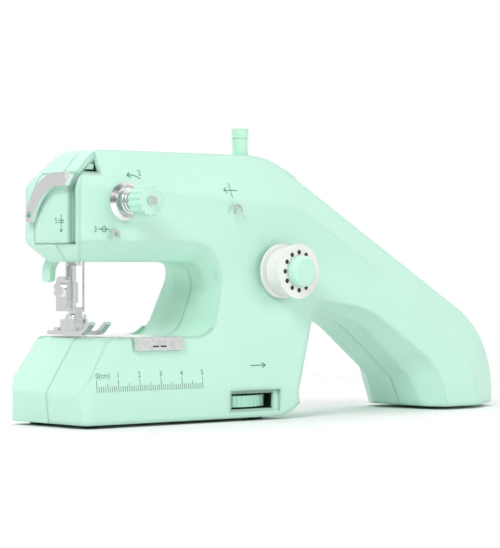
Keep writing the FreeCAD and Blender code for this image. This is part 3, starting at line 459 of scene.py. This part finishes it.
link(rise.outputs["Vector"], raised.inputs["Translation"])
link(stroke.outputs["Mesh"], raised.inputs["Geometry"])
link(half_stretch.outputs[0], whole_stretch.inputs[2])
link(whole_stretch.outputs[0], scale.inputs["Z"])
link(marks.outputs["Mesh"], copies.inputs["Points"])
link(raised.outputs["Geometry"], copies.inputs["Instance"])
link(scale.outputs["Vector"], copies.inputs["Scale"])
link(copies.outputs["Instances"], real.inputs["Geometry"])
link(real.outputs["Geometry"], dress.inputs["Geometry"])
link(dress.outputs["Geometry"], ruler_out.inputs["Geometry"])
ruler_mesh = grown_mesh("ruler", bpy.data.meshes.new("ruler_source"), ruler_tree, ruler_sockets,
                        (tick_count, tick_gap, tick_width, tick_short))
lay_on_front(ruler_mesh, "ruler_scale")


# Printed signs: centimetre numbers over the ruler, step numbers along the thread path, and arrows for the
# thread and the thumb wheel, all in the same dark green ink on the front shell.
def text_mesh(words, height, name):
    curve = bpy.data.curves.new(name, "FONT")
    curve.body = words
    curve.size = height
    curve.align_x = "CENTER"
    source = bpy.data.objects.new(name + "_text", curve)
    scene.collection.objects.link(source)
    return mesh_of(source)


def stroke_mesh(strokes, width, overrun, name, place):
    shape = bmesh.new()
    for (u0, v0), (u1, v1) in strokes:
        half = Vector((u1 - u0, v1 - v0)).normalized() * (width / 2)
        end = half * overrun
        corners = [(u0 - end.x - half.y, v0 - end.y + half.x), (u0 - end.x + half.y, v0 - end.y - half.x),
                   (u1 + end.x + half.y, v1 + end.y - half.x), (u1 + end.x - half.y, v1 + end.y + half.x)]
        shape.faces.new([shape.verts.new(place(u, v)) for u, v in corners])
    mesh = bpy.data.meshes.new(name)
    shape.to_mesh(mesh)
    shape.free()
    return mesh


def on_front(x, z):
    return row_shift + Vector((x, print_start_y, z))


def printed_text(words, x, z, height, name):
    mesh = text_mesh(words, height, name)
    for vertex in mesh.vertices:
        vertex.co = on_front(x + vertex.co.x, z + vertex.co.y)
    lay_on_front(mesh, name)


def printed_line(points, width, name):
    strokes = list(zip(points, points[1:]))
    lay_on_front(stroke_mesh(strokes, width, overrun=1.0, name=name, place=on_front), name)


def arc_points(centre, radii, first, between, count):
    turns = [math.radians(first + between * step_number) for step_number in range(count)]
    return [(centre[0] + radii[0] * math.cos(turn), centre[1] + radii[1] * math.sin(turn)) for turn in turns]


label_height, label_z, zero_shift = 0.0028, 0.0178, 0.003
for centimetre in range(6):
    label = "0(cm)" if centimetre == 0 else str(centimetre)
    label_x = ruler_x + centimetre * 0.01 + (zero_shift if centimetre == 0 else 0.0)
    printed_text(label, label_x, label_z, label_height, "ruler_number_%d" % centimetre)

thick_line, thin_line, fine_line, head_line = 0.00035, 0.00032, 0.0003, 0.0004
barb_run, barb_rise = 0.0017, 0.0009
wheel_arrow_x, wheel_arrow_z, wheel_arrow_run = 0.0885, 0.0205, 0.0075
wheel_tip = (wheel_arrow_x, wheel_arrow_z)
printed_line([(wheel_arrow_x - wheel_arrow_run, wheel_arrow_z), wheel_tip], thick_line, "wheel_arrow_shaft")
printed_line([(wheel_arrow_x - barb_run, wheel_arrow_z + barb_rise), wheel_tip,
              (wheel_arrow_x - barb_run, wheel_arrow_z - barb_rise)], thick_line, "wheel_arrow_head")

guide_x, guide_z = 0.0775, 0.0866
guide_up, guide_down, guide_reach = 0.0027, 0.0028, 0.0034
guide_barb_x, guide_barb_z = 0.0021, 0.001
guide_tip = (guide_x - guide_reach, guide_z)
printed_line([(guide_x, guide_z + guide_up), (guide_x, guide_z - guide_down)], thin_line, "guide_arrow_down")
printed_line([guide_tip, (guide_x + guide_reach, guide_z)], thin_line, "guide_arrow_cross")
printed_line([(guide_x - guide_barb_x, guide_z + guide_barb_z), guide_tip,
              (guide_x - guide_barb_x, guide_z - guide_barb_z)], thin_line, "guide_arrow_head")

step_height = 0.0030
printed_text("2", x=0.0342, z=0.0912, height=step_height, name="step_number_2")
tension_arc = arc_points((0.0295, 0.0814), radii=(0.0088, 0.0099), first=60.0, between=8.0, count=6)
tip_x, tip_z = tension_arc[-1]
printed_line(tension_arc, thick_line, "tension_arrow_arc")
printed_line([(tip_x + 0.0013, tip_z + 0.0009), (tip_x, tip_z), (tip_x + 0.0014, tip_z - 0.0008)], head_line,
             "tension_arrow_head")

eye_x, eye_z, eye_r = 0.0152, 0.0713, 0.0010
eye_left, eye_right = 0.0028, 0.0024
printed_text("3", x=0.0112, z=0.0702, height=step_height, name="step_number_3")
printed_line([(eye_x - eye_left, eye_z), (eye_x + eye_right, eye_z)], fine_line, "step_arrow_3")
printed_line(arc_points((eye_x, eye_z), radii=(eye_r, eye_r), first=0.0, between=30.0, count=13), fine_line,
             "step_eye_3")


# End signs: step numbers 4 and 5 and the needle arrow, printed in the same ink on the end cover beside the
# take-up slot.
cover_skin = nodes["face_cover"]


def on_end(across, z):
    return row_shift + Vector((0.0, -across, z))


def lay_on_end(mesh, piece_name):
    for vertex in mesh.vertices:
        start = Vector((-far_off, vertex.co.y, vertex.co.z))
        hit, spot = cover_skin.ray_cast(start, Vector((1, 0, 0)))[:2]
        if hit:
            vertex.co = spot + Vector((-print_lift, 0, 0))
    piece = add_piece(piece_name, mesh, ink)
    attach(piece, "housing")


for words, across, z in (("4", 0.0034, 0.0866), ("5", 0.0022, 0.0734)):
    number_mesh = text_mesh(words, step_height, "end_number_" + words)
    for vertex in number_mesh.vertices:
        vertex.co = on_end(across + vertex.co.x, z + vertex.co.y)
    lay_on_end(number_mesh, "end_number_" + words)
end_line = 0.00034
end_tip = (0.0052, 0.0702)
for name, strokes in (
    ("end_arrow", [((0.0052, 0.0766), end_tip), ((0.0061, 0.0713), end_tip), ((0.0043, 0.0713), end_tip)]),
    ("end_eye", [((0.0036, 0.0745), (0.0068, 0.0745)), ((0.0036, 0.0737), (0.0068, 0.0737))]),
):
    lay_on_end(stroke_mesh(strokes, end_line, overrun=0.0, name=name, place=on_end), name)


# Slot guard: a mint web moulded behind the end cover that lines the rear side of the take-up slot. It keeps
# the thread from falling into the head.
guard_outline = [(5.8, 66.5), (10.8, 66.5), (10.8, 93.0), (15.8, 93.0), (15.8, 98.4), (10.8, 93.9), (5.8, 88.6)]
guard_rear_y, guard_front_y = -8.9, -9.35
guard = bmesh.new()
guard_rims = []
for y in (guard_rear_y, guard_front_y):
    guard_rims.append([guard.verts.new(row_shift + Vector((x, y, z)) * 0.001) for x, z in guard_outline])
guard.faces.new(guard_rims[0])
guard.faces.new(list(reversed(guard_rims[1])))
for i in range(len(guard_outline)):
    j = (i + 1) % len(guard_outline)
    guard.faces.new([guard_rims[0][j], guard_rims[0][i], guard_rims[1][i], guard_rims[1][j]])
bmesh.ops.recalc_face_normals(guard, faces=guard.faces)
guard_mesh = bpy.data.meshes.new("slot_guard")
guard.to_mesh(guard_mesh)
guard.free()
slot_guard = add_piece("slot_guard", guard_mesh, mint_small)
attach(slot_guard, "housing")


# Plate lip: the thin moulded edge of the rear shell that the slide plate's rear end runs up to. Its front
# face gets a mint skin of its own, laid on the moulding.
lip_left_x, lip_right_x = row_shift.x + 0.05, row_shift.x + 0.07
lip_front_y = row_shift.y + 0.02
lip_floor_z = 0.03
lip_reach = 0.00002
facing_front = -0.99
lip_face = bmesh.new()
lip_face.from_mesh(nodes["rear_shell"].data)
lip_face.normal_update()
away = []
for face in lip_face.faces:
    middle = face.calc_center_median()
    on_lip = face.normal.y < facing_front and abs(middle.y - lip_front_y) < lip_reach
    if not (on_lip and lip_left_x < middle.x < lip_right_x and middle.z > lip_floor_z):
        away.append(face)
bmesh.ops.delete(lip_face, geom=away, context="FACES")
bmesh.ops.translate(lip_face, verts=lip_face.verts, vec=(0.0, -print_lift, 0.0))
lip_mesh = bpy.data.meshes.new("plate_lip")
lip_face.to_mesh(lip_mesh)
lip_face.free()
plate_lip = add_piece("plate_lip", lip_mesh, mint_small)
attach(plate_lip, "housing")


# Rear screws: six cross-head screws of ground steel that close the shells from behind; their heads stand on
# the rear face. The cross recess in each head is painted shade: a dark cross laid on the head. They repeat, so
# they are instances on six points of that face.
rear_skin = nodes["rear_shell"]
screw_spots = [(0.022, 0.074), (0.070, 0.082), (0.014, 0.020), (0.092, 0.020), (0.150, 0.055), (0.205, 0.024)]
screw_r, screw_top_r, screw_depth = 0.0023, 0.0019, 0.0005
slot_length, slot_width, slot_thick = 0.0026, 0.0006, 0.0001
screw_tree, screw_sockets, screw_in, screw_out = piece_tree(
    "rear_screws", ("Radius", "NodeSocketFloat"), ("Top radius", "NodeSocketFloat"), ("Depth", "NodeSocketFloat"))
link = screw_tree.links.new
head = screw_tree.nodes.new("GeometryNodeMeshCone")
head.inputs["Vertices"].default_value = 32
link(screw_in.outputs["Radius"], head.inputs["Radius Bottom"])
link(screw_in.outputs["Top radius"], head.inputs["Radius Top"])
link(screw_in.outputs["Depth"], head.inputs["Depth"])
cross = screw_tree.nodes.new("GeometryNodeJoinGeometry")
for size in ((slot_length, slot_width, slot_thick), (slot_width, slot_length, slot_thick)):
    bar = screw_tree.nodes.new("GeometryNodeMeshCube")
    bar.inputs["Size"].default_value = size
    link(bar.outputs["Mesh"], cross.inputs["Geometry"])
all_screws = screw_tree.nodes.new("GeometryNodeJoinGeometry")
# Painted shade: the cross takes the dark material to stand for the shaded recess in each head.
for shape_out, height, skin in ((head.outputs["Mesh"], 0.0, ground),
                                (cross.outputs["Geometry"], screw_depth, rubber_and_shade)):
    stand = screw_tree.nodes.new("GeometryNodeTransform")
    stand.inputs["Translation"].default_value = (0.0, height, 0.0)
    stand.inputs["Rotation"].default_value = (-math.pi / 2, 0.0, 0.0)
    place_heads = screw_tree.nodes.new("GeometryNodeInstanceOnPoints")
    real_heads = screw_tree.nodes.new("GeometryNodeRealizeInstances")
    dress_heads = screw_tree.nodes.new("GeometryNodeSetMaterial")
    dress_heads.inputs["Material"].default_value = skin
    link(shape_out, stand.inputs["Geometry"])
    link(screw_in.outputs["Geometry"], place_heads.inputs["Points"])
    link(stand.outputs["Geometry"], place_heads.inputs["Instance"])
    link(place_heads.outputs["Instances"], real_heads.inputs["Geometry"])
    link(real_heads.outputs["Geometry"], dress_heads.inputs["Geometry"])
    link(dress_heads.outputs["Geometry"], all_screws.inputs["Geometry"])
link(all_screws.outputs["Geometry"], screw_out.inputs["Geometry"])
spots = []
for x, z in screw_spots:
    start = row_shift + Vector((x, far_off, z))
    hit, spot = rear_skin.ray_cast(start, Vector((0, -1, 0)))[:2]
    if hit:
        spots.append(spot)
screw_points = bpy.data.meshes.new("rear_screw_points")
screw_points.from_pydata(spots, [], [])
screw_mesh = grown_mesh("rear_screw", screw_points, screw_tree, screw_sockets, (screw_r, screw_top_r, screw_depth))
rear_screws = add_piece("rear_screws", screw_mesh)
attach(rear_screws, "housing")


# Studio: a pale floor just under the feet, a white backdrop that dims towards the room behind the camera, three
# softboxes, and a camera that stands where the photograph was taken. None of it belongs to the machine.
floor_half, floor_shift, floor_drop = 0.53, 0.27, 0.0003
floor_mesh = bpy.data.meshes.new("studio_floor")
floor_shape = bmesh.new()
bmesh.ops.create_grid(floor_shape, x_segments=2, y_segments=2, size=floor_half)
floor_shape.to_mesh(floor_mesh)
floor_shape.free()
pale = bpy.data.materials.new("studio_pale")
pale.use_nodes = True
pale.node_tree.nodes["Principled BSDF"].inputs["Base Color"].default_value = (0.85, 0.85, 0.85, 1.0)
pale.node_tree.nodes["Principled BSDF"].inputs["Roughness"].default_value = 0.9
floor = add_piece("studio_floor", floor_mesh, pale)
floor.location = (-floor_shift, -floor_shift, -floor_drop)

view_angle = math.radians(42.0)
ahead = Vector((math.sin(view_angle), math.cos(view_angle), 0.0))
right = Vector((math.cos(view_angle), -math.sin(view_angle), 0.0))
room_light, backdrop_light = 0.2, 1.0
fade_start, fade_end = -0.45, 0.55
world = bpy.data.worlds.new("studio")
world.use_nodes = True
backdrop = world.node_tree.nodes["Background"]
backdrop.inputs["Color"].default_value = (1.0, 1.0, 1.0, 1.0)
look = world.node_tree.nodes.new("ShaderNodeTexCoord")
facing = world.node_tree.nodes.new("ShaderNodeVectorMath")
facing.operation = "DOT_PRODUCT"
facing.inputs[1].default_value = ahead
fade = world.node_tree.nodes.new("ShaderNodeMapRange")
fade.inputs["From Min"].default_value = fade_start
fade.inputs["From Max"].default_value = fade_end
fade.inputs["To Min"].default_value = room_light
fade.inputs["To Max"].default_value = backdrop_light
world.node_tree.links.new(look.outputs["Generated"], facing.inputs[0])
world.node_tree.links.new(facing.outputs["Value"], fade.inputs["Value"])
world.node_tree.links.new(fade.outputs["Result"], backdrop.inputs["Strength"])
scene.world = world


def softbox(name, place, aim, width, power):
    light = bpy.data.lights.new(name, "AREA")
    light.shape = "SQUARE"
    light.size = width
    light.energy = power
    lamp = bpy.data.objects.new(name, light)
    lamp.location = place
    lamp.rotation_euler = (Vector(aim) - Vector(place)).to_track_quat("-Z", "Y").to_euler()
    scene.collection.objects.link(lamp)


softbox("key", (-1.1, -0.5, 0.95), aim=(-0.05, 0.0, 0.05), width=0.6, power=12.5)
softbox("fill", (0.35, -1.3, 0.55), aim=(0.0, 0.0, 0.05), width=0.9, power=6.2)
softbox("top", (0.1, 0.4, 1.25), aim=(0.0, 0.1, 0.0), width=1.2, power=6.4)

photo_height_px = 548
focal_px = 2491.0
horizon_drop_px = 8.0
sensor_mm = 36.0
camera_back, camera_right, camera_height = 0.888, 0.0544, 0.058
bed_front_y = -0.023
ruler_zero = Vector((row_shift.x + ruler_x, row_shift.y + bed_front_y, 0.0))
camera_data = bpy.data.cameras.new("photo_camera")
camera_data.sensor_width = sensor_mm
camera_data.lens = focal_px / photo_height_px * sensor_mm
camera_data.clip_start = 0.01
camera = bpy.data.objects.new("photo_camera", camera_data)
camera.location = ruler_zero - ahead * camera_back + right * camera_right + Vector((0.0, 0.0, camera_height))
aim = ahead + Vector((0.0, 0.0, -horizon_drop_px / focal_px))
camera.rotation_euler = aim.to_track_quat("-Z", "Y").to_euler()
scene.collection.objects.link(camera)
scene.camera = camera
